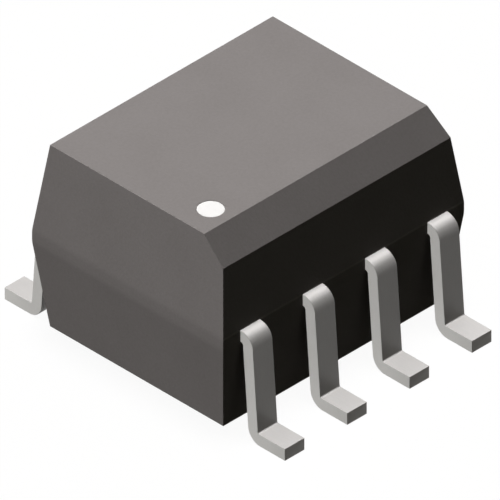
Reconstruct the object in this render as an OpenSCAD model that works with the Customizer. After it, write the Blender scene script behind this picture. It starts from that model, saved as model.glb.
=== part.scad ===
// Tall eight-lead small-outline chip package: an optical coupler with two channels.
// Origin: centre of the seating plane. +X is the side of leads 1 to 4, which has the bevelled edge.
// Lead 1 is at the -Y end of that side, and the leads are numbered counter-clockwise seen from +Z.

/* [Outer mould] */
// Width over the two lead sides, at the parting line
body_w = 3.90; // [3.60:0.05:4.60]
// Height of each mould half, above and below the lead frame
half_h = 1.50; // [1.35:0.05:1.80]
// Centre of the last lead to the end of the body, at the parting line
end_margin = 0.55; // [0.50:0.01:0.80]
// Gap between the board and the underside
standoff = 0.15; // [0.05:0.01:0.30]
// Release angle of every side, in degrees
draft = 7; // [3:0.5:9]
// Width of the bevel along the lead 1 side, seen from above
bevel_w = 0.435; // [0.200:0.005:0.600]
// Height of that bevel
bevel_h = 0.375; // [0.200:0.005:0.600]
// Diameter of the ejector pin mark in the underside
ejector_d = 1.00; // [0.60:0.05:1.50]
// Depth of that mark
ejector_depth = 0.03; // [0.02:0.005:0.08]

/* [Leads outside the body] */
// Distance between neighbouring leads
pitch = 1.27; // [1.20:0.01:1.40]
// Width of a lead
lead_w = 0.40; // [0.33:0.01:0.48]
// Thickness of the lead frame sheet
lead_t = 0.20; // [0.15:0.01:0.25]
// Flat stretch between the body and the first bend
lead_stub = 0.01; // [0.01:0.01:0.20]
// Inside radius of every bend
bend_r = 0.05; // [0.03:0.01:0.10]
// Outward lean of the leg, in degrees from upright
leg_lean = 4.25; // [0.5:0.25:8]
// Flat top of the foot, from the leg to its tip
foot_len = 0.545; // [0.400:0.005:0.800]

/* [Lead frame inside the body] */
// Width over the ears that lock a lead in the mould
ear_w = 0.60; // [0.50:0.01:0.75]
// Length of those ears
ear_len = 0.30; // [0.20:0.01:0.40]
// Outer mould left between the ears and the face that the lead leaves by
ear_cover = 0.12; // [0.08:0.01:0.20]
// Width of a lead inside the ears
arm_w = 0.36; // [0.28:0.01:0.40]
// How far the emitter level lies above the lead plane, and the detector level below it
frame_set = 0.60; // [0.50:0.01:0.68]
// Slope of the ramp to those levels, in degrees
ramp_angle = 50; // [45:1:60]
// Side of the inner mould to the foot of the ramp
ramp_inset = 0.08; // [0.05:0.01:0.15]
// Length of a die paddle
paddle_len = 0.90; // [0.70:0.01:1.00]
// Reach of a paddle beyond the middle of its channel
paddle_past = 0.30; // [0.28:0.005:0.34]
// Middle of the package to the tip of a bonding post
post_tip = 0.25; // [0.10:0.01:0.35]

/* [Dice and their adhesive] */
// Side of the infrared emitter
emitter_side = 0.28; // [0.22:0.01:0.36]
// Thickness of the emitter
emitter_t = 0.15; // [0.10:0.01:0.20]
// Side of the light-sensing die
detector_side = 0.50; // [0.40:0.01:0.52]
// Thickness of the light-sensing die
detector_t = 0.20; // [0.15:0.01:0.25]
// Edge of the light-sensing die to the centre of its contact
contact_inset = 0.10; // [0.08:0.01:0.15]
// Thickness of the conductive adhesive under a die
adhesive_t = 0.02; // [0.01:0.005:0.04]
// Adhesive squeezed out beyond each side of a die
adhesive_lip = 0.02; // [0.01:0.005:0.03]

/* [Bond wires] */
// Diameter of the gold wire
wire_d = 0.025; // [0.020:0.001:0.035]
// Diameter of the ball that is welded to a die
ball_d = 0.075; // [0.060:0.005:0.100]
// Thickness of that ball
ball_t = 0.02; // [0.010:0.005:0.030]
// Length of the stitch that is pressed onto the bonding post
stitch_len = 0.08; // [0.060:0.005:0.100]
// Thickness of that stitch
stitch_t = 0.01; // [0.005:0.001:0.015]
// Pull of the loop away from both of its ends
loop_h = 0.25; // [0.15:0.01:0.30]

/* [Inner mould] */
// Outer mould between the inner mould and a lead side
side_wall = 0.70; // [0.60:0.01:0.80]
// Outer mould above and below the inner mould
cover = 0.55; // [0.35:0.01:0.60]
// Inner mould beyond the outermost arms
end_cover = 0.14; // [0.12:0.005:0.16]

/* [Lead 1 mark] */
// Diameter of the dot, a shallow moulded recess with ink in it
dot_d = 0.41; // [0.30:0.01:0.50]
// Thickness of the ink
dot_t = 0.02; // [0.010:0.005:0.030]
// Depth of the ink's surface under the top face
dot_sink = 0.01; // [0.005:0.005:0.020]
// Centre of the dot to the upper edge of the bevel
dot_to_bevel = 0.375; // [0.270:0.005:0.600]
// Centre of the dot to the end of the top face
dot_to_end = 0.51; // [0.27:0.01:0.80]

/* [Hidden] */
LEADS_A_SIDE = 4;
$fn = 64;

// Added to the radius of each bend's arcs, so that they cross their straight runs in a clean edge
HAIR = 0.00002;

// Inclination of the drafted sides
slope = tan(draft);

// Levels, from the underside to the top face
z_low = standoff;
z_part_low = z_low + half_h;
z_part_high = z_part_low + lead_t;
z_top = z_part_high + half_h;
z_lead = (z_part_low + z_part_high) / 2;

row = (LEADS_A_SIDE - 1) * pitch;
body_len = row + 2 * end_margin;
inner_w = body_w - 2 * side_wall;
inner_len = row + arm_w + 2 * end_cover;

// Edges of the top face: the bevel's upper edge and the two ends
top_edge_x = body_w / 2 - slope * (half_h - bevel_h) - bevel_w;
top_end_y = body_len / 2 - slope * half_h;

// Corners of a lead's middle line
bend_mid_r = bend_r + lead_t / 2;
knee_x = body_w / 2 + lead_stub + bend_mid_r * tan((90 - leg_lean) / 2);
heel_x = knee_x + (z_lead - lead_t / 2) * tan(leg_lean);
toe_x = heel_x + lead_t / 2 * (1 / cos(leg_lean) - tan(leg_lean)) + foot_len;
ramp_low_x = inner_w / 2 - ramp_inset;
ramp_high_x = ramp_low_x - frame_set / tan(ramp_angle);

// Ears and the flat of a bonding post
ear_out_x = body_w / 2 - ear_cover;
ear_in_x = ear_out_x - ear_len;
post_end_x = ramp_high_x - bend_mid_r * tan(ramp_angle / 2);
stitch_x = (post_tip + post_end_x) / 2;

// The emitters hang under their paddles, and the detectors stand on theirs
emitter_seat_z = z_lead + frame_set - lead_t / 2;
detector_seat_z = z_lead - frame_set + lead_t / 2;
emitter_face_z = emitter_seat_z - adhesive_t - emitter_t;
detector_face_z = detector_seat_z + adhesive_t + detector_t;

// The two channels, and the leads of each: the ones with a paddle and the ones with a bonding post
CHANNELS = [0, 1];
CHANNEL_NAMES = ["a", "b"];
EMITTER_PADDLE = [2, 4];
EMITTER_POST = [1, 3];
DETECTOR_PADDLE = [8, 6];
DETECTOR_POST = [7, 5];

// Corners round a bond wire, and steps along its loop
WIRE_SIDES = 8;
WIRE_STEPS = 12;

// Leads 1 to 4 run up the +X side in the direction of +Y, and 5 to 8 run back down the -X side
function on_emitter_side(n) = n <= LEADS_A_SIDE;
function lead_y(n) = pitch * (on_emitter_side(n)
    ? n - (LEADS_A_SIDE + 1) / 2
    : (3 * LEADS_A_SIDE + 1) / 2 - n);
function channel_y(c) = (2 * c - 1) * pitch;

// The way along Y in which a lead's paddle reaches from its arm: +1 or -1, and 0 for a bonding post
function paddle_way(n) =
    let (c = lead_y(n) > 0 ? 1 : 0)
    n == EMITTER_PADDLE[c] || n == DETECTOR_PADDLE[c] ? sign(channel_y(c) - lead_y(n)) : 0;

function unit(v) = v / norm(v);

// Angle that a path turns through at its point i, and the centre of a bend of radius r there
function turn(path, i) = acos(unit(path[i] - path[i - 1]) * unit(path[i + 1] - path[i]));
function bend_centre(path, i, r) =
    path[i] + unit(unit(path[i + 1] - path[i]) - unit(path[i] - path[i - 1])) * r / cos(turn(path, i) / 2);

// The path moved to its left by d, with mitred corners
function left(v) = [-v[1], v[0]];
function beside(path, d) = [
    for (i = [0 : len(path) - 1])
        let (
            before = unit(i > 0 ? path[i] - path[i - 1] : path[1] - path[0]),
            after = unit(i < len(path) - 1 ? path[i + 1] - path[i] : path[i] - path[i - 1])
        )
        path[i] + left(before + after) * d / (1 + before * after)
];

// The wedge that a bend of radius r takes up, with its apex at the bend's centre, drawn k times as large
module bend_wedge(path, i, r, k = 1) {
    centre = bend_centre(path, i, r);
    before = unit(path[i] - path[i - 1]);
    after = unit(path[i + 1] - path[i]);
    start = path[i] - before * r * tan(turn(path, i) / 2);
    end = path[i] + after * r * tan(turn(path, i) / 2);
    around = left(before) * after > 0 ? [start, path[i], end] : [end, path[i], start];
    polygon([centre, for (p = around) centre + (p - centre) * k]);
}

module bend_disc(path, i, r_mid, r) {
    translate(bend_centre(path, i, r_mid)) circle(r = r + HAIR);
}

// The edge view of a sheet of thickness t that is bent along path with inside radius r
module bent_strip(path, t, r) {
    r_mid = r + t / 2;
    bends = [1 : len(path) - 2];
    difference() {
        union() {
            polygon([each beside(path, -t / 2), for (i = [len(path) - 1 : -1 : 0]) beside(path, t / 2)[i]]);
            for (i = bends)
                difference() {
                    bend_wedge(path, i, r_mid);
                    bend_disc(path, i, r_mid, r);
                }
        }
        for (i = bends)
            difference() {
                bend_wedge(path, i, r_mid, 2 * (r + t) / r_mid);
                bend_disc(path, i, r_mid, r + t);
            }
    }
}

// Middle line of a lead in XZ, from its inner tip to its toe
function lead_path(way, level) = [
    [way == 0 ? post_tip : -paddle_len / 2, z_lead + level * frame_set],
    [ramp_high_x, z_lead + level * frame_set],
    [ramp_low_x, z_lead],
    [knee_x, z_lead],
    [heel_x, lead_t / 2],
    [toe_x, lead_t / 2]
];

// Stamped outline of a lead, seen from above
module lead_outline(way) {
    tip_x = way == 0 ? post_tip : -paddle_len / 2;
    paddle_w = arm_w / 2 + pitch / 2 + paddle_past;
    translate([ear_in_x, -lead_w / 2]) square([toe_x, lead_w]);
    translate([ear_in_x, -ear_w / 2]) square([ear_len, ear_w]);
    translate([tip_x, -arm_w / 2]) square([ear_out_x - tip_x, arm_w]);
    if (way != 0)
        translate([0, way * (paddle_w - arm_w) / 2]) square([paddle_len, paddle_w], center = true);
}

// A lead on the +X side at Y = 0: the bent sheet, trimmed to its stamped outline.
// level is +1 for the emitter level and -1 for the detector level.
module formed_lead(way, level) {
    sheet_w = 4 * pitch;
    intersection() {
        rotate([90, 0, 0])
            linear_extrude(sheet_w, center = true)
                bent_strip(lead_path(way, level), lead_t, bend_r);
        translate([0, 0, -lead_t]) linear_extrude(z_top) lead_outline(way);
    }
}

module lead(n) {
    way = paddle_way(n);
    color("silver") translate([0, lead_y(n), 0])
        if (on_emitter_side(n)) formed_lead(way, 1);
        else mirror([1, 0, 0]) formed_lead(way, -1);
}

module leads() {
    for (n = [1 : 2 * LEADS_A_SIDE]) lead(n);
}

// A block that widens by the release angle from both ends to an upright band at the parting line.
// drop is the height of each end beyond the band, and bevel is [width, height] of a bevel along
// the upper edge on the +X side.
module drafted_block(w, l, drop, bevel = [0, 0]) {
    low = z_part_low - drop;
    high = z_part_high + drop;
    inset = slope * drop;
    bevel_x = w / 2 - slope * (drop - bevel[1]);
    intersection() {
        rotate([90, 0, 0]) linear_extrude(l, center = true) polygon([
            [-w / 2, z_part_low],
            [inset - w / 2, low],
            [w / 2 - inset, low],
            [w / 2, z_part_low],
            [w / 2, z_part_high],
            [bevel_x, high - bevel[1]],
            if (bevel[0] > 0) [bevel_x - bevel[0], high],
            [inset - w / 2, high],
            [-w / 2, z_part_high]
        ]);
        rotate([90, 0, 90]) linear_extrude(w, center = true) polygon([
            [-l / 2, z_part_low],
            [inset - l / 2, low],
            [l / 2 - inset, low],
            [l / 2, z_part_low],
            [l / 2, z_part_high],
            [l / 2 - inset, high],
            [inset - l / 2, high],
            [-l / 2, z_part_high]
        ]);
    }
}

module inner_form() {
    drafted_block(inner_w, inner_len, half_h - cover);
}

module outer_mould() {
    color("#55524d") difference() {
        drafted_block(body_w, body_len, half_h, [bevel_w, bevel_h]);
        inner_form();
        leads();
        translate([0, 0, z_low - ejector_depth]) cylinder(d = ejector_d, h = 2 * ejector_depth);
        mark_disc(2 * (dot_t + dot_sink));
    }
}

module inner_mould() {
    color("ivory") difference() {
        inner_form();
        leads();
        for (c = CHANNELS) {
            emitter_die(c);
            emitter_adhesive(c);
            emitter_wire(c);
            detector_die(c);
            detector_adhesive(c);
            detector_wire(c);
        }
    }
}

// A disc of height h that stands on the floor of the recess of the lead 1 mark
module mark_disc(h) {
    translate([top_edge_x - dot_to_bevel, dot_to_end - top_end_y, z_top - dot_sink - dot_t])
        cylinder(d = dot_d, h = h);
}

module pin_one_dot() {
    color("white") mark_disc(dot_t);
}

// A square plate over the middle of channel c, from height z upwards
module plate(c, side, t, z) {
    translate([0, channel_y(c), z + t / 2]) cube([side, side, t], center = true);
}

module emitter_die(c) {
    color("goldenrod") plate(c, emitter_side, emitter_t, emitter_face_z);
}

module emitter_adhesive(c) {
    color("gray") plate(c, emitter_side + 2 * adhesive_lip, adhesive_t, emitter_seat_z - adhesive_t);
}

module detector_die(c) {
    color("slateblue") plate(c, detector_side, detector_t, detector_face_z - detector_t);
}

module detector_adhesive(c) {
    color("gray") plate(c, detector_side + 2 * adhesive_lip, adhesive_t, detector_seat_z);
}

// Point and direction at s, from 0 to 1, on a loop from a to b that leaves both ends by pull
function loop_point(a, b, pull, s) =
    pow(1 - s, 3) * a + 3 * pow(1 - s, 2) * s * (a + pull)
    + 3 * (1 - s) * s * s * (b + pull) + pow(s, 3) * b;
function loop_way(a, b, pull, s) =
    unit(pow(1 - s, 2) * pull + 2 * (1 - s) * s * (b - a) - s * s * pull);

// Corners of a section round p, with half-widths rx and ry along the directions x and y
function ring(p, x, y, rx, ry) = [
    for (k = [0 : WIRE_SIDES - 1])
        p + cos(k * 360 / WIRE_SIDES) * rx * x + sin(k * 360 / WIRE_SIDES) * ry * y
];

// A bond wire as one closed tube: its ball stands on a, its stitch lies on b, and up is the unit
// vector away from both faces
module bond_wire(a, b, up) {
    pull = loop_h * up;
    flat = unit([b[0] - a[0], b[1] - a[1], 0]);
    across = cross(up, flat);
    from = a + ball_t * up;
    to = b + stitch_t * up;
    rings = [
        ring(a, across, flat, ball_d / 2, ball_d / 2),
        ring(from, across, flat, ball_d / 2, ball_d / 2),
        for (i = [0 : WIRE_STEPS])
            let (s = i / WIRE_STEPS)
            ring(loop_point(from, to, pull, s), across, cross(across, loop_way(from, to, pull, s)),
                 wire_d / 2, wire_d / 2),
        ring(to, across, -flat, wire_d, stitch_len / 2),
        ring(b, across, -flat, wire_d, stitch_len / 2)
    ];
    last = len(rings) - 1;
    polyhedron(
        points = [for (r = rings) each r],
        faces = [
            [for (k = [WIRE_SIDES - 1 : -1 : 0]) k],
            for (i = [0 : last - 1])
                for (k = [0 : WIRE_SIDES - 1])
                    let (next = (k + 1) % WIRE_SIDES)
                    [i * WIRE_SIDES + k, i * WIRE_SIDES + next,
                     (i + 1) * WIRE_SIDES + next, (i + 1) * WIRE_SIDES + k],
            [for (k = [0 : WIRE_SIDES - 1]) last * WIRE_SIDES + k]
        ]
    );
}

module emitter_wire(c) {
    color("gold") bond_wire(
        [0, channel_y(c), emitter_face_z],
        [stitch_x, lead_y(EMITTER_POST[c]), emitter_seat_z],
        [0, 0, -1]
    );
}

module detector_wire(c) {
    contact = detector_side / 2 - contact_inset;
    post_y = lead_y(DETECTOR_POST[c]);
    color("gold") bond_wire(
        [-contact, channel_y(c) + contact * sign(post_y - channel_y(c)), detector_face_z],
        [-stitch_x, post_y, detector_seat_z],
        [0, 0, 1]
    );
}

outer_mould();
inner_mould();
pin_one_dot();
for (n = [1 : 2 * LEADS_A_SIDE])
    lead(n);
for (c = CHANNELS) {
    emitter_die(c);
    emitter_adhesive(c);
    emitter_wire(c);
    detector_die(c);
    detector_adhesive(c);
    detector_wire(c);
}
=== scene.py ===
# Looks for a tall eight-lead small-outline chip, an optical coupler with two channels. Sizes are in
# millimetres and become metres where a mesh is made. The frame is that of the solids: the board is at
# Z = 0, +X is the side of leads 1 to 4, and lead 1 is at the -Y end of that side.
import math

import bpy
import numpy as np
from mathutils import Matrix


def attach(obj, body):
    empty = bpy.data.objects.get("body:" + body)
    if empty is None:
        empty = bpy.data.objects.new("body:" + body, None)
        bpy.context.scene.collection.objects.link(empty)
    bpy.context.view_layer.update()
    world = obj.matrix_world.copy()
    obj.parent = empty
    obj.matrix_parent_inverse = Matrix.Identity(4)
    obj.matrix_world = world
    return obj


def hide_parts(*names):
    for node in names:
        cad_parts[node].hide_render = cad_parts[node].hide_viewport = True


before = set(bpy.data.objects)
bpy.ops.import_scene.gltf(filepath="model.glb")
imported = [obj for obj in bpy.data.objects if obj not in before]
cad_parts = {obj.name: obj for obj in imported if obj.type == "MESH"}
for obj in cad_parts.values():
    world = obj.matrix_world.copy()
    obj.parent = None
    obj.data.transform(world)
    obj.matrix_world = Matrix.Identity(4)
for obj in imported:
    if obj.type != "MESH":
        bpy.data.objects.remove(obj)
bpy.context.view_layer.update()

# The eight leads: copper alloy sheet, stamped, bent in a forming tool and plated with matte tin. Leads 1
# to 4 rise to the emitters and 5 to 8 drop to the detectors. Even leads end in a paddle that carries a
# die, the others in a bonding post, and the ears lock each lead in the outer mould.
PITCH = 1.27
SHEET = 0.20
LEVEL = 0.60
LEAD_Z = 1.75
CHANNEL_Y = (-1.27, 1.27)
PADDLE_X = 0.45
POST_X = 0.25
RAMP_X = (0.66654, 1.17)
EAR_X = (1.53, 1.83)
SHANK_HALF, EAR_HALF, LEG_HALF, PADDLE_HALF = 0.18, 0.30, 0.20, 0.30
KNEE_X, HEEL_X, TOE_X = 2.1028, 2.2127, 2.856
CREASE = (2.1037, 1.567)
BEND = 0.15
INNER_HEEL_BEND = 0.125
FOOT_RISE = 0.009
LEAD_EDGE = 0.006
WIDTH_STEP = 1e-5
TOE_FADE = 0.004
PADDLE_LEADS = (2, 4, 6, 8)


def srgb(*levels):
    """A colour from three levels of 0 to 255, each turned to linear light, followed by full opacity."""
    share = np.array(levels) / 255
    return (*np.where(share < 0.04045, share / 12.92, ((share + 0.055) / 1.055) ** 2.4), 1.0)


def bent_line(corners, radius, steps=8, margin=0.012):
    """Straight runs through the corners, with an arc of its radius in place of each inner corner.

    A point of an arc is the arc's start, plus radius times sin a along the way in, plus radius times
    1 - cos a towards the side that the line turns to, for a from 0 to the angle turned. A point stands
    a margin before and after each arc, so that the straight runs are shaded flat. radius is one number
    or one for each inner corner. Gives the points and the line's direction at each.
    """
    corners = np.asarray(corners, float)
    radius = np.broadcast_to(radius, len(corners) - 2)[:, None, None]
    ways = np.diff(corners, axis=0)
    ways /= np.linalg.norm(ways, axis=1, keepdims=True)
    before, after = ways[:-1, None], ways[1:, None]
    turn = np.arccos((before * after).sum(-1, keepdims=True))
    side = (after - before * np.cos(turn)) / np.sin(turn)
    start = corners[1:-1, None] - before * radius * np.tan(turn / 2)
    a = turn * np.linspace(0, 1, steps + 1)[None, :, None]
    arc = start + radius * (np.sin(a) * before + (1 - np.cos(a)) * side)
    way = np.cos(a) * before + np.sin(a) * side
    arc = np.concatenate([start - margin * before, arc, arc[:, -1:] + margin * after], axis=1)
    way = np.concatenate([before, way, after], axis=1)
    points = np.concatenate([corners[:1], arc.reshape(-1, 2), corners[-1:]])
    return points, np.concatenate([ways[:1], way.reshape(-1, 2), ways[-1:]])


def rounded_section(steps=4, runs=1, margin=0.6):
    """The outline of a rounded rectangle, as corner signs and outward directions for each of its points.

    A point is the middle, plus the half-sizes less the radius times the signs, plus the radius times
    the direction. Each straight run has a point at margin times the radius from both of its arcs, and
    runs - 1 points evenly between those.
    """
    quarter = np.arange(4)[:, None] * np.pi / 2
    a = quarter + np.linspace(0, np.pi / 2, steps + 1)
    out = np.stack([np.cos(a), np.sin(a)], axis=-1)
    along = np.stack([-np.sin(a), np.cos(a)], axis=-1)
    before, after = out[:, :1] - margin * along[:, :1], out[:, -1:] + margin * along[:, -1:]
    out = np.concatenate([before, out, after], axis=1)
    diagonal = quarter + np.pi / 4
    signs = np.sqrt(2) * np.stack([np.cos(diagonal), np.sin(diagonal)], axis=-1)
    corner = np.concatenate([np.broadcast_to(signs, out.shape), out], axis=-1)
    share = np.linspace(0, 1, runs + 1)[None, 1:-1, None]
    run = corner[:, -1:] * (1 - share) + np.roll(corner, -1, axis=0)[:, :1] * share
    both = np.concatenate([corner, run], axis=1).reshape(-1, 4)
    return both[:, :2], both[:, 2:]


def skin(name, rings, hollow=None):
    """A mesh object from rings of points: quads join each ring to the next, and a fan closes both ends.

    The faces are turned outwards by the sign of the volume that they enclose. hollow holds the rings of
    a cavity, whose faces are turned inwards.
    """
    points, faces = [], []
    for shell, sense in ((rings, 1), (hollow, -1)):
        if shell is None:
            continue
        count, around = shell.shape[:2]
        first = sum(map(len, points))
        i = np.arange(around)
        j = (i + 1) % around
        row = first + np.arange(count)[:, None] * around
        quads = np.stack([row[:-1] + i, row[:-1] + j, row[1:] + j, row[1:] + i], axis=-1)
        quads = quads.reshape(-1, 4)
        poles = first + count * around + np.arange(2)
        fans = np.concatenate([
            np.stack([row[0] + j, row[0] + i, np.full(around, poles[0])], axis=-1),
            np.stack([row[-1] + i, row[-1] + j, np.full(around, poles[1])], axis=-1),
        ])
        points.append(np.concatenate([shell.reshape(-1, 3), shell[[0, -1]].mean(axis=1)]))
        p = np.concatenate(points)
        corners = np.concatenate([quads[:, :3], quads[:, [0, 2, 3]], fans])
        a, b, c = p[corners[:, 0]], p[corners[:, 1]], p[corners[:, 2]]
        if sense * np.einsum("ij,ij->i", a, np.cross(b, c)).sum() < 0:
            quads, fans = quads[:, ::-1], fans[:, ::-1]
        faces += quads.tolist() + fans.tolist()
    mesh = bpy.data.meshes.new(name)
    mesh.from_pydata(np.concatenate(points) * 0.001, [], faces)
    mesh.polygons.foreach_set("use_smooth", np.ones(len(faces), bool))
    mesh.set_sharp_from_angle(angle=math.radians(40))
    piece = bpy.data.objects.new(name, mesh)
    bpy.context.scene.collection.objects.link(piece)
    return piece


class Shade:
    """One output in a finish's nodes. Arithmetic on it adds Math nodes, and node() adds any node."""

    def __init__(self, tree, socket=None):
        self.tree, self.socket = tree, socket

    def node(self, kind, settings, sockets, out=0):
        """Adds a node: its settings first, then each socket's value or link. Gives its output out."""
        made = self.tree.nodes.new(kind)
        for name, value in settings.items():
            setattr(made, name, value)
        for name, value in sockets.items():
            if isinstance(value, Shade):
                self.tree.links.new(value.socket, made.inputs[name])
            else:
                made.inputs[name].default_value = value
        return Shade(self.tree, made.outputs[out] if made.outputs else None)

    def math(self, operation, *values):
        """A Math node of this operation on the values."""
        return self.node("ShaderNodeMath", {"operation": operation}, dict(enumerate(values)))

    def __add__(self, other):
        return self.math("ADD", self, other)

    def __sub__(self, other):
        return self.math("SUBTRACT", self, other)

    def __rsub__(self, other):
        return self.math("SUBTRACT", other, self)

    def __mul__(self, other):
        return self.math("MULTIPLY", self, other)

    def __truediv__(self, other):
        return self.math("DIVIDE", self, other)

    def __abs__(self):
        return self.math("ABSOLUTE", self)

    __radd__, __rmul__ = __add__, __mul__

    def clip(self):
        """The value held between 0 and 1."""
        return self.node("ShaderNodeClamp", {}, {"Value": self})

    def blend(self, low, high):
        """The colour low where this value is 0, high where it is 1, and a mixture between."""
        return self.node("ShaderNodeMix", {"data_type": "RGBA"}, {0: self, 6: low, 7: high}, out=2)

    def axes(self):
        """The three parts of a position."""
        split = self.node("ShaderNodeSeparateXYZ", {}, {0: self}).socket.node
        return [Shade(self.tree, part) for part in split.outputs]

    def stretch(self, *factors):
        """The position with its three parts multiplied by factors."""
        return self.node("ShaderNodeVectorMath", {"operation": "MULTIPLY"}, {0: self, 1: factors})

    def mottle(self, size, detail=2.0):
        """Cloudy noise from about 0 to 1 on this position, with patches of about size millimetres."""
        sockets = {"Vector": self, "Scale": 1000 / size, "Detail": detail}
        return self.node("ShaderNodeTexNoise", {}, sockets, out="Fac")

    def relief(self, height):
        """The surface normal over bumps whose height, in millimetres, is this value times height."""
        sockets = {"Height": self, "Strength": 1.0, "Distance": height / 1000}
        return self.node("ShaderNodeBump", {}, sockets)


def emptied(owner):
    """The start of the nodes of a material or world, with those that it came with removed."""
    owner.use_nodes = True
    owner.node_tree.nodes.clear()
    return Shade(owner.node_tree)


def finish(name, paint):
    """A material whose shader sockets are what paint gives for the place on the piece, in metres."""
    material = bpy.data.materials.new(name)
    place = emptied(material).node("ShaderNodeTexCoord", {}, {}, out="Object")
    shader = place.node("ShaderNodeBsdfPrincipled", {}, paint(place))
    place.node("ShaderNodeOutputMaterial", {}, {"Surface": shader})
    return material


def square_to(place, axis):
    """1 on faces square to the axis numbered 0 to 2, 0 on faces along it, and a fade between."""
    facing = place.node("ShaderNodeTexCoord", {}, {}, out="Normal").axes()[axis]
    return ((abs(facing) - 0.5) / 0.4).clip()


def tin_paint(place):
    """Matte tin: fine crystal grain, faint clouds, and lengthwise rub marks of the forming tool.

    The stamped edges, which face along Y, are rougher, and are painted whiter than the rolled faces as
    painted light for the light that falls on those sides. The tip of each foot is greyer: it is cut off
    after plating, and the tool only wipes a little tin over it; its grey is also painted shade that
    darkens that upright end.
    """
    cloud = place.mottle(0.22)
    grain = place.mottle(0.03)
    rub = place.stretch(0.12, 1.0, 0.12).mottle(0.03, 1.0)
    light = (0.3 * cloud + 0.35 * grain + 0.35 * rub).clip()
    edge = square_to(place, 1)
    rolled = light.blend(srgb(188, 185, 183), srgb(203, 200, 198))
    # Painted light: the faces along Y get a whiter tone, which stands in for light falling on those
    # sides.
    stamped = light.blend(srgb(237, 235, 231), srgb(249, 247, 244))
    # Partly painted shade: the cut tip gets a greyer tone, which also stands in for shade on that upright
    # end.
    cut_tip_and_shade = ((abs(1000 * place.axes()[0]) - (TOE_X - LEAD_EDGE)) / TOE_FADE).clip()
    return {
        "Base Color": cut_tip_and_shade.blend(edge.blend(rolled, stamped), srgb(176, 172, 168)),
        "Metallic": 0.1 - 0.04 * edge,
        "Specular IOR Level": 0.28,
        "Roughness": 0.45 + 0.04 * cloud + 0.14 * edge,
        "Normal": (0.6 * grain + 0.4 * rub).relief(0.0016),
    }


def lead_height(n):
    """Where lead n stands along Y: 1 to 4 run up the +X side and 5 to 8 run back down the -X side."""
    return PITCH * (n - 2.5 if n < 5 else 6.5 - n)


def lead_rings(n):
    """A lead as a rounded section carried along the sheet's bent middle line.

    The section lies across the line: one side along Y, between the stamped edges at that X, and the
    other square to the sheet. At both ends it shrinks by an arc, which rounds the cut edges. The top
    bend turns down upright, and the leg leans out from a faint crease just below it. The upper half of
    the section follows a line of its own, whose heel is tighter and whose foot is a little higher.
    """
    side, level = (1, 1) if n < 5 else (-1, -1)
    y = lead_height(n)
    channel = min(CHANNEL_Y, key=lambda c: abs(c - y))
    reach = channel - y if n in PADDLE_LEADS else 0
    tip = -PADDLE_X if reach else POST_X
    breaks = list(EAR_X)
    low, high = [-SHANK_HALF, -EAR_HALF, -LEG_HALF], [SHANK_HALF, EAR_HALF, LEG_HALF]
    if reach:
        edge = abs(reach) + PADDLE_HALF
        breaks = [PADDLE_X] + breaks
        low = [-SHANK_HALF if reach > 0 else -edge] + low
        high = [edge if reach > 0 else SHANK_HALF] + high
    corners = np.array([
        (tip + LEAD_EDGE, LEAD_Z + level * LEVEL),
        (RAMP_X[0], LEAD_Z + level * LEVEL),
        (RAMP_X[1], LEAD_Z),
        (KNEE_X, LEAD_Z),
        CREASE,
        (HEEL_X, SHEET / 2),
        (TOE_X - LEAD_EDGE, SHEET / 2),
    ])
    lines = [bent_line(corners, BEND, steps=10)]
    corners[-2:, 1] += FOOT_RISE
    lines.append(bent_line(corners, [BEND] * 4 + [INNER_HEEL_BEND], steps=10))
    stops = [line[:, 0] for line, way in lines]
    stops += [np.subtract(breaks, WIDTH_STEP), np.add(breaks, WIDTH_STEP)]
    x = np.unique(np.round(np.concatenate(stops), 6))
    dome = np.radians([80, 60, 40, 20])
    inner = tip + LEAD_EDGE * (1 - np.sin(dome))
    outer = TOE_X - LEAD_EDGE * (1 - np.sin(dome[::-1]))
    shrink = LEAD_EDGE * (1 - np.cos(dome))
    inset = np.concatenate([shrink, 0 * x, shrink[::-1]])
    x = np.concatenate([inner, x, outer])
    z = np.stack([np.interp(x, *line.T) for line, way in lines], axis=-1)
    slopes = [(line[:, 0], np.arctan2(way[:, 1], way[:, 0])) for line, way in lines]
    tilt = np.stack([np.interp(x, at, slope) for at, slope in slopes], axis=-1)
    span = np.searchsorted(breaks, x)
    low, high = np.array(low)[span], np.array(high)[span]
    signs, out = rounded_section()
    upper = (signs[:, 1] > 0).astype(int)
    radius = LEAD_EDGE - inset
    half_width, half_sheet = (high - low) / 2 - inset - radius, SHEET / 2 - inset - radius
    across = np.outer(half_width, signs[:, 0]) + np.outer(radius, out[:, 0])
    through = np.outer(half_sheet, signs[:, 1]) + np.outer(radius, out[:, 1])
    return np.stack([
        side * (x[:, None] - np.sin(tilt)[:, upper] * through),
        y + ((low + high) / 2)[:, None] + across,
        z[:, upper] + np.cos(tilt)[:, upper] * through,
    ], axis=-1)


tin = finish("matte_tin_plate", tin_paint)
for n in range(1, 9):
    lead = skin(f"tinned_lead_{n}", lead_rings(n))
    lead.data.materials.append(tin)
    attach(lead, "root")
    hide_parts(f"lead_{n}")

# The dice and their adhesive: two infrared emitters of gallium arsenide, upside down under their paddles,
# and two light-sensing silicon dice on theirs. Each sits in a thin bed of silver-filled adhesive that was
# squeezed out all round. These are the solids themselves, and only get their finishes here.
EMITTER_CONTACT, EMITTER_RIM = 0.05, 0.125
DETECTOR_CONTACT, DETECTOR_FIELD = 0.045, 0.21
CONTACT_OFFSET = 0.15


def from_channel(place):
    """The place's X and Y in millimetres, with Y counted from the middle of the channel it is in."""
    x, y = (1000 * part for part in place.axes()[:2])
    return x, y - CHANNEL_Y[1] * y.math("SIGN", y)


def within(distance, reach, soft=0.004):
    """1 where the distance is under reach, 0 beyond it, and a soft edge between."""
    return ((reach - distance) / soft + 0.5).clip()


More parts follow.
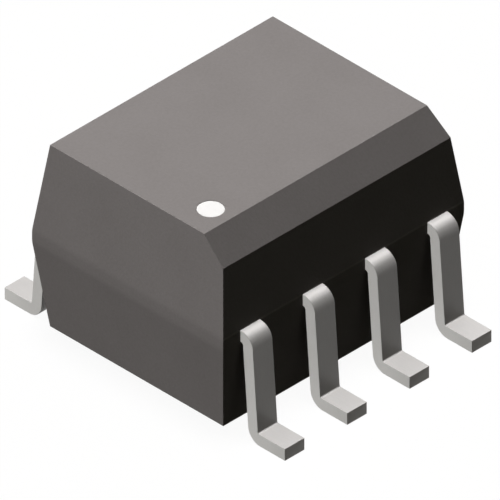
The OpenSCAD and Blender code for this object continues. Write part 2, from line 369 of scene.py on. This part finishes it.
def emitter_paint(place):
    """Gallium arsenide, cloudy dark grey with a saw-cut rim, and a round gold contact in the middle."""
    x, y = from_channel(place)
    gold = within(x.math("SQRT", x * x + y * y), EMITTER_CONTACT)
    rim = within(x.math("MAXIMUM", abs(x), abs(y)), EMITTER_RIM)
    body = rim.blend(srgb(92, 90, 86), srgb(128, 122, 108))
    return {
        "Base Color": gold.blend(body, srgb(226, 188, 108)),
        "Metallic": 0.2 + 0.8 * gold,
        "Roughness": 0.5 - 0.25 * rim + 0.1 * place.mottle(0.02),
    }


def detector_paint(place):
    """Silicon with a blue-violet coat on the light-sensing field, a bare rim and an aluminium contact."""
    x, y = from_channel(place)
    far = x.math("MAXIMUM", abs(x), abs(y))
    contact = x.math("MAXIMUM", abs(x + CONTACT_OFFSET), abs(y - CONTACT_OFFSET))
    field = within(far, DETECTOR_FIELD)
    metal = within(contact, DETECTOR_CONTACT)
    coat = field * (0.8 + 0.2 * place.mottle(0.15))
    tone = coat.blend(srgb(120, 122, 128), srgb(74, 78, 126))
    return {
        "Base Color": metal.blend(tone, srgb(214, 214, 212)),
        "Metallic": 0.3 + 0.7 * metal,
        "Roughness": 0.34 - 0.12 * field + 0.12 * metal,
    }


def adhesive_paint(place):
    """Silver flakes in clear resin: bright specks on grey, with an uneven skin."""
    flakes = place.mottle(0.012, 3.0)
    return {
        "Base Color": flakes.blend(srgb(128, 128, 126), srgb(206, 206, 204)),
        "Metallic": 0.35 + 0.4 * flakes,
        "Roughness": 0.7 - 0.25 * flakes,
        "Normal": flakes.relief(0.003),
    }


for part, paint in (("emitter_die", emitter_paint), ("detector_die", detector_paint),
                    ("emitter_adhesive", adhesive_paint), ("detector_adhesive", adhesive_paint)):
    material = finish(part, paint)
    for channel in "ab":
        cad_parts[f"{part}_{channel}"].material_slots[0].material = material

# The four bond wires: drawn gold, 0.025 mm thick. A ball is melted on one end and welded to the die, the
# wire loops over to the post, and the tool presses its other end flat there as a stitch.
WIRE = 0.0125
STITCH_X = 0.42329
EMITTER_FACE_Z, EMITTER_POST_Z = 2.08, 2.25
DETECTOR_FACE_Z, DETECTOR_POST_Z = 1.47, 1.25
LOOP = 0.25
BALL_TOP, STITCH_TOP = 0.02, 0.01
BALL = [(0, 0.031), (0.003, 0.0355), (0.008, 0.0374), (0.013, 0.0365), (0.017, 0.031), (0.0195, 0.020)]
STITCH = [(0.0095, 0.0165, 0.022), (0.0075, 0.022, 0.033), (0.004, 0.0245, 0.0385), (0, 0.0238, 0.0375)]


def wire_rings(start, end, up):
    """A bond wire as ellipses carried along a cubic curve that leaves both ends square to their faces.

    Below the curve's start, circles on the die make the squashed ball, and at its end, growing ellipses
    that sink to the post make the stitch. The ellipses lie across the curve. BALL holds the heights and
    radii of the circles, and STITCH the heights, half-widths and half-lengths of the last ellipses.
    """
    start, end, up = np.array(start), np.array(end), np.array([0, 0, up], float)
    flat = (end - start) * [1, 1, 0]
    flat /= np.linalg.norm(flat)
    across = np.cross(up, flat)
    ball, press = np.array(BALL), np.array(STITCH)
    from_ball, to_stitch = start + BALL_TOP * up, end + STITCH_TOP * up
    s = np.linspace(0, 1, 33)[:, None]
    loop = ((1 - s) ** 3 + 3 * (1 - s) ** 2 * s) * from_ball + (3 * (1 - s) * s**2 + s**3) * to_stitch
    loop += 3 * s * (1 - s) * LOOP * up
    way = (1 - s) ** 2 * LOOP * up + 2 * (1 - s) * s * (to_stitch - from_ball) - s**2 * LOOP * up
    way /= np.linalg.norm(way, axis=1, keepdims=True)
    middle = np.concatenate([start + ball[:, :1] * up, loop, end + press[:, :1] * up])
    ends = np.tile(flat, (len(ball), 1)), np.tile(-flat, (len(press), 1))
    second = np.concatenate([ends[0], np.cross(across, way), ends[1]])
    wide = np.concatenate([ball[:, 1], np.full(len(s), WIRE), press[:, 1]])
    long = np.concatenate([ball[:, 1], np.full(len(s), WIRE), press[:, 2]])
    a = np.linspace(0, 2 * np.pi, 20, endpoint=False)
    return (middle[:, None] + np.outer(wide, np.cos(a))[..., None] * across
            + np.outer(long, np.sin(a))[..., None] * second[:, None])


def gold_paint(place):
    """Drawn gold: bright and warm, with a slight unevenness of the melted ball."""
    cloud = place.mottle(0.03)
    return {
        "Base Color": cloud.blend(srgb(222, 180, 92), srgb(238, 202, 124)),
        "Metallic": 1.0,
        "Roughness": 0.22 + 0.14 * cloud,
    }


gold = finish("drawn_gold", gold_paint)
for channel, y, anode, emitter_terminal in (("a", CHANNEL_Y[0], 1, 7), ("b", CHANNEL_Y[1], 3, 5)):
    runs = {
        "emitter": ((0, y, EMITTER_FACE_Z), (STITCH_X, lead_height(anode), EMITTER_POST_Z), -1),
        "detector": (
            (-CONTACT_OFFSET, y + CONTACT_OFFSET, DETECTOR_FACE_Z),
            (-STITCH_X, lead_height(emitter_terminal), DETECTOR_POST_Z),
            1,
        ),
    }
    for kind, (start, end, up) in runs.items():
        wire = skin(f"{kind}_bond_wire_{channel}", wire_rings(start, end, up))
        wire.data.materials.append(gold)
        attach(wire, "root")
        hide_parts(f"{kind}_wire_{channel}")

# The inner mould: white epoxy that lets infrared light through, transfer-moulded round the dice and
# wires. It is the solid itself, with the cavities that those pieces fill.


def inner_paint(place):
    """White epoxy with a little translucent depth and a fine moulded grain."""
    cloud = place.mottle(0.4)
    grain = place.mottle(0.03)
    tone = (0.7 * cloud + 0.3 * grain).clip()
    return {
        "Base Color": tone.blend(srgb(226, 222, 210), srgb(240, 237, 228)),
        "Roughness": 0.5 + 0.15 * grain,
        "Subsurface Weight": 0.1,
        "Subsurface Radius": (0.0004, 0.0003, 0.0002),
        "Normal": grain.relief(0.002),
    }


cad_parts["inner_mould"].material_slots[0].material = finish("white_epoxy", inner_paint)

# The outer mould: charcoal epoxy with silica filler, transfer-moulded over the inner one in two halves
# that meet along the lead frame. Its sides lean in by 7 degrees for release, a bevel marks the side of
# lead 1, and an ejector pin has left its round print in the underside.
BODY = {"half_width": 1.95, "half_length": 2.455, "low": 0.15, "high": 3.35,
        "edge": 0.005, "parting_edge": 0.9}
CORE = {"half_width": 1.25, "half_length": 2.225, "low": 0.70, "high": 2.80,
        "edge": 0.01, "parting_edge": 0.01}
PARTING = (1.65, 1.85)
SLOPE = math.tan(math.radians(7))
BEVEL = (0.435, 0.375)
BEVEL_LOW_X = BODY["half_width"] - SLOPE * (BODY["high"] - BEVEL[1] - PARTING[1])
TOP_EDGE_X = BEVEL_LOW_X - BEVEL[0]
TOP_END_Y = BODY["half_length"] - SLOPE * (BODY["high"] - PARTING[1])
EJECTOR_MARK = (0.0, 0.0, 0.50, 0.03)
MARK_IN_X, MARK_IN_Y = 0.375, 0.51
LEAD_MARK = (TOP_EDGE_X - MARK_IN_X, MARK_IN_Y - TOP_END_Y, 0.205, 0.03)
PIT = ((0.020, 0), (0.004, 0), (0.0012, 0.04), (0, 0.14), (0, 0.9), (-0.003, 1), (-0.02, 1))
CORNER = 1.2
CAP_INSET = 0.012
FLASH_AND_HIGHLIGHT_REACH = 0.03


def wall_profile(size, half, bevel=None):
    """Height against distance from the middle for one side: the drafted wall with its edges rounded.

    The two edges of the upright band at the parting planes are worn to wide arcs that nearly meet.
    """
    low, high = size["low"], size["high"]
    upper = [(half - SLOPE * (high - PARTING[1]), high)]
    if bevel:
        upper = [(BEVEL_LOW_X, high - bevel[1]), (TOP_EDGE_X, high)]
    lower = [(half - SLOPE * (PARTING[0] - low), low), (half, PARTING[0]), (half, PARTING[1])]
    edges = [size["edge"], size["parting_edge"], size["parting_edge"]] + [size["edge"]] * len(upper)
    points, _ = bent_line([(0, low), *lower, *upper, (0, high)], edges, steps=5)
    return points[2:-2]


def moulded_rings(size, bevel=None, pit_below=None, pit_above=None, runs=48):
    """A moulded block as level outlines, stacked from the underside to the top face.

    At each height the outline is a rounded rectangle between the four side profiles, with corners
    CORNER times as round as the edges. A pit is a round recess (x, y, radius, depth) in the underside
    or the top face: each of its points lies on the ray from the pit's middle to a point of the face's
    outline. PIT holds how far its rings stand outside its radius, and their share of its depth.
    """
    right = wall_profile(size, size["half_width"], bevel)
    left = wall_profile(size, size["half_width"])
    end = wall_profile(size, size["half_length"])
    z = np.unique(np.round(np.concatenate([right[:, 1], left[:, 1], end[:, 1]]), 5))
    x_high, x_low, y_half = (np.interp(z, p[:, 1], p[:, 0]) for p in (right, left, end))
    signs, out = rounded_section(runs=runs)
    radius = size["edge"] * CORNER

    def outline(k, inset=0.0):
        half = np.array([(x_high[k] + x_low[k]) / 2, y_half[k]]) - inset
        flat = [(x_high[k] - x_low[k]) / 2, 0] + signs * (half - radius) + radius * out
        return np.column_stack([flat, np.full(len(flat), z[k])])

    def cap(k, pit):
        rings = [outline(k, CAP_INSET)]
        if pit:
            x, y, r, depth = pit
            inwards = -depth if k else depth
            ray = rings[0][:, :2] - (x, y)
            ray /= np.linalg.norm(ray, axis=1, keepdims=True)
            for wide, deep in PIT:
                flat = (x, y) + (r + wide) * ray
                rings.append(np.column_stack([flat, np.full(len(flat), z[k] + deep * inwards)]))
        return rings

    walls = [outline(k) for k in range(len(z))]
    return np.array(cap(0, pit_below)[::-1] + walls + cap(-1, pit_above))


def charcoal_paint(place):
    """Charcoal epoxy: a matte sparked grain with pale filler specks.

    On the two sides of the leads, a thin line of flash at the upper parting plane is glossier and raised,
    and its colour is painted paler as a painted highlight along it.
    """
    cloud = place.mottle(0.9)
    grain = place.mottle(0.035, 3.0)
    specks = place.mottle(0.05, 1.0)
    from_seam = abs(1000 * place.axes()[2] - PARTING[1])
    # The flash line on faces square to X: real gloss and relief, and a painted highlight in its colour.
    flash_and_highlight = square_to(place, 0) * (1 - from_seam / FLASH_AND_HIGHLIGHT_REACH).clip()
    tone = (0.35 * cloud + 0.4 * grain + 0.25 * specks).clip()
    plain = tone.blend(srgb(130, 125, 123), srgb(150, 145, 144))
    return {
        # The paler colour along the flash line is a painted highlight.
        "Base Color": flash_and_highlight.blend(plain, srgb(171, 166, 163)),
        "Roughness": 0.62 + 0.12 * grain - 0.1 * flash_and_highlight,
        "Specular IOR Level": 0.005,
        "Normal": (grain + 0.4 * specks + flash_and_highlight).relief(0.002),
    }


body = skin(
    "charcoal_mould",
    moulded_rings(BODY, BEVEL, EJECTOR_MARK, LEAD_MARK),
    hollow=moulded_rings(CORE, runs=2),
)
body.data.materials.append(finish("charcoal_epoxy", charcoal_paint))
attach(body, "root")
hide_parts("outer_mould")

# The mark of lead 1: white ink, a drop of it cured in the round recess of the top face. It stops just
# short of the recess's wall and rim, and thins towards its own rim.
INK_DEPTH = 0.004
INK_GAP = 0.001
INK_RIM = 0.015


def ink_rings():
    """The cured drop as circles: a flat foot, an upright side, a soft rim and a swelling surface."""
    x, y, r, depth = LEAD_MARK
    floor, top = BODY["high"] - depth, BODY["high"] - INK_DEPTH
    outline = np.array([
        (0.5 * r, floor),
        (r - INK_GAP, floor),
        (r - INK_GAP, top - 0.002),
        (r - 0.003, top),
        (r - 0.010, top + 0.0008),
        (0.87 * r, top + 0.0016),
        (0.7 * r, top + 0.0023),
        (0.4 * r, top + 0.0028),
        (0.08 * r, top + 0.0030),
    ])
    a = np.linspace(0, 2 * np.pi, 96, endpoint=False)
    wide, z = outline[:, :1], outline[:, 1:]
    return np.stack([x + wide * np.cos(a), y + wide * np.sin(a), z + 0 * a], axis=-1)


def ink_paint(place):
    """White ink, a little thin towards its rim, with a faint dusty texture."""
    x, y = (1000 * part for part in place.axes()[:2])
    dx, dy = x - LEAD_MARK[0], y - LEAD_MARK[1]
    off = x.math("SQRT", dx * dx + dy * dy)
    rim = ((off - (LEAD_MARK[2] - INK_RIM)) / INK_RIM).clip()
    cloud = place.mottle(0.06)
    thin = (0.7 * rim + 0.3 * cloud).clip()
    return {
        "Base Color": thin.blend(srgb(247, 245, 244), srgb(231, 229, 227)),
        "Roughness": 0.5 + 0.15 * cloud,
        "Normal": cloud.relief(0.0015),
    }


ink = skin("mark_ink", ink_rings())
ink.data.materials.append(finish("white_ink", ink_paint))
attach(ink, "root")
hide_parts("pin_one_dot")

# The studio: a white floor, a light tent that lights the part from both ends and reaches behind every
# piece, a wide card that only shows as a soft sheen on the tin, a soft lamp overhead that gives the
# shadow on the floor, and a parallel camera on the diagonal.
WHITE = (1, 1, 1, 1)
FILL = (0.0195, 0.0190, 0.0140, 1.0)
PAPER_REACH = 0.5
PAPER_GLOW = 0.6


def ray(start, kind):
    """1 for rays of this kind, 0 for all others."""
    return start.node("ShaderNodeLightPath", {}, {}, out=f"Is {kind} Ray")


floor_mesh = bpy.data.meshes.new("studio_floor")
square = [(x * PAPER_REACH, y * PAPER_REACH, 0) for x, y in ((-1, -1), (1, -1), (1, 1), (-1, 1))]
floor_mesh.from_pydata(square, [], [(0, 1, 2, 3)])
floor = bpy.data.objects.new("studio_floor", floor_mesh)
bpy.context.scene.collection.objects.link(floor)
paper = bpy.data.materials.new("studio_paper")
start = emptied(paper)
lit = start.node("ShaderNodeBsdfDiffuse", {}, {"Color": WHITE})
white = start.node("ShaderNodeEmission", {}, {"Color": WHITE, "Strength": 1.0})
shown = start.node("ShaderNodeMixShader", {}, {0: PAPER_GLOW, 1: lit, 2: white})
faint = start.node("ShaderNodeEmission", {}, {"Color": FILL, "Strength": 1.0})
mirrored = (ray(start, "Glossy") + ray(start, "Transmission")).clip()
unseen = start.node("ShaderNodeMixShader", {}, {0: mirrored, 1: faint, 2: white})
paper_look = start.node("ShaderNodeMixShader", {}, {0: ray(start, "Camera"), 1: unseen, 2: shown})
start.node("ShaderNodeOutputMaterial", {}, {"Surface": paper_look})
floor_mesh.materials.append(paper)

world = bpy.data.worlds.new("studio_air")
bpy.context.scene.world = world
start = emptied(world)
fill = start.node("ShaderNodeBackground", {}, {"Color": FILL, "Strength": 1.0})
white = start.node("ShaderNodeBackground", {}, {"Color": WHITE, "Strength": 1.0})
seen = (ray(start, "Camera") + ray(start, "Glossy") + ray(start, "Transmission")).clip()
air_look = start.node("ShaderNodeMixShader", {}, {0: seen, 1: fill, 2: white})
start.node("ShaderNodeOutputWorld", {}, {"Surface": air_look})

# Each lamp is the direction that it shines from, times the share of full light that it adds to a face
# square to it, and then its width in degrees. Only the overhead lamp casts a shadow.
TENT = {"tent_near_end": ((-0.55, -0.40, 0.48), 20), "tent_far_end": ((-0.10, 0.33, 0.38), 20)}
CARD = {"sheen_card": ((0.090, 0.306, 0.423), 40)}
OVERHEAD = {"overhead": ((0.0, 0.0, 0.12), 20)}
for name, (light, width) in (TENT | CARD | OVERHEAD).items():
    level = np.linalg.norm(light)
    lamp = bpy.data.objects.new(name, bpy.data.lights.new(name, "SUN"))
    lamp.data.energy = level * math.pi
    lamp.data.angle = math.radians(width)
    lamp.visible_diffuse = name not in CARD
    if name not in OVERHEAD:
        lamp.data.use_shadow = False
        lamp.data.cycles.max_bounces = 0
    turn = math.atan2(light[1], light[0]) + math.pi / 2
    lamp.rotation_euler = (math.acos(light[2] / level), 0, turn)
    bpy.context.scene.collection.objects.link(lamp)

# The camera looks along the diagonal of a cube, without perspective. Its sizes are in metres, apart from
# the millimetres in which its centre is written.
VIEW_WIDTH = 0.0072013
VIEW_CENTRE = np.array([0.0194, 0.0199, 1.2425]) * 0.001
VIEW_DISTANCE = 0.04
camera = bpy.data.objects.new("camera", bpy.data.cameras.new("camera"))
camera.data.type = "ORTHO"
camera.data.ortho_scale = VIEW_WIDTH
camera.data.clip_start, camera.data.clip_end = 0.001, 1.0
tilt = math.atan(1 / math.sqrt(2))
sideways = math.cos(tilt) / math.sqrt(2)
camera.location = VIEW_CENTRE + VIEW_DISTANCE * np.array([sideways, -sideways, math.sin(tilt)])
camera.rotation_euler = (math.pi / 2 - tilt, 0, math.pi / 4)
bpy.context.scene.collection.objects.link(camera)
bpy.context.scene.camera = camera
bpy.context.scene.view_settings.view_transform = "Standard"
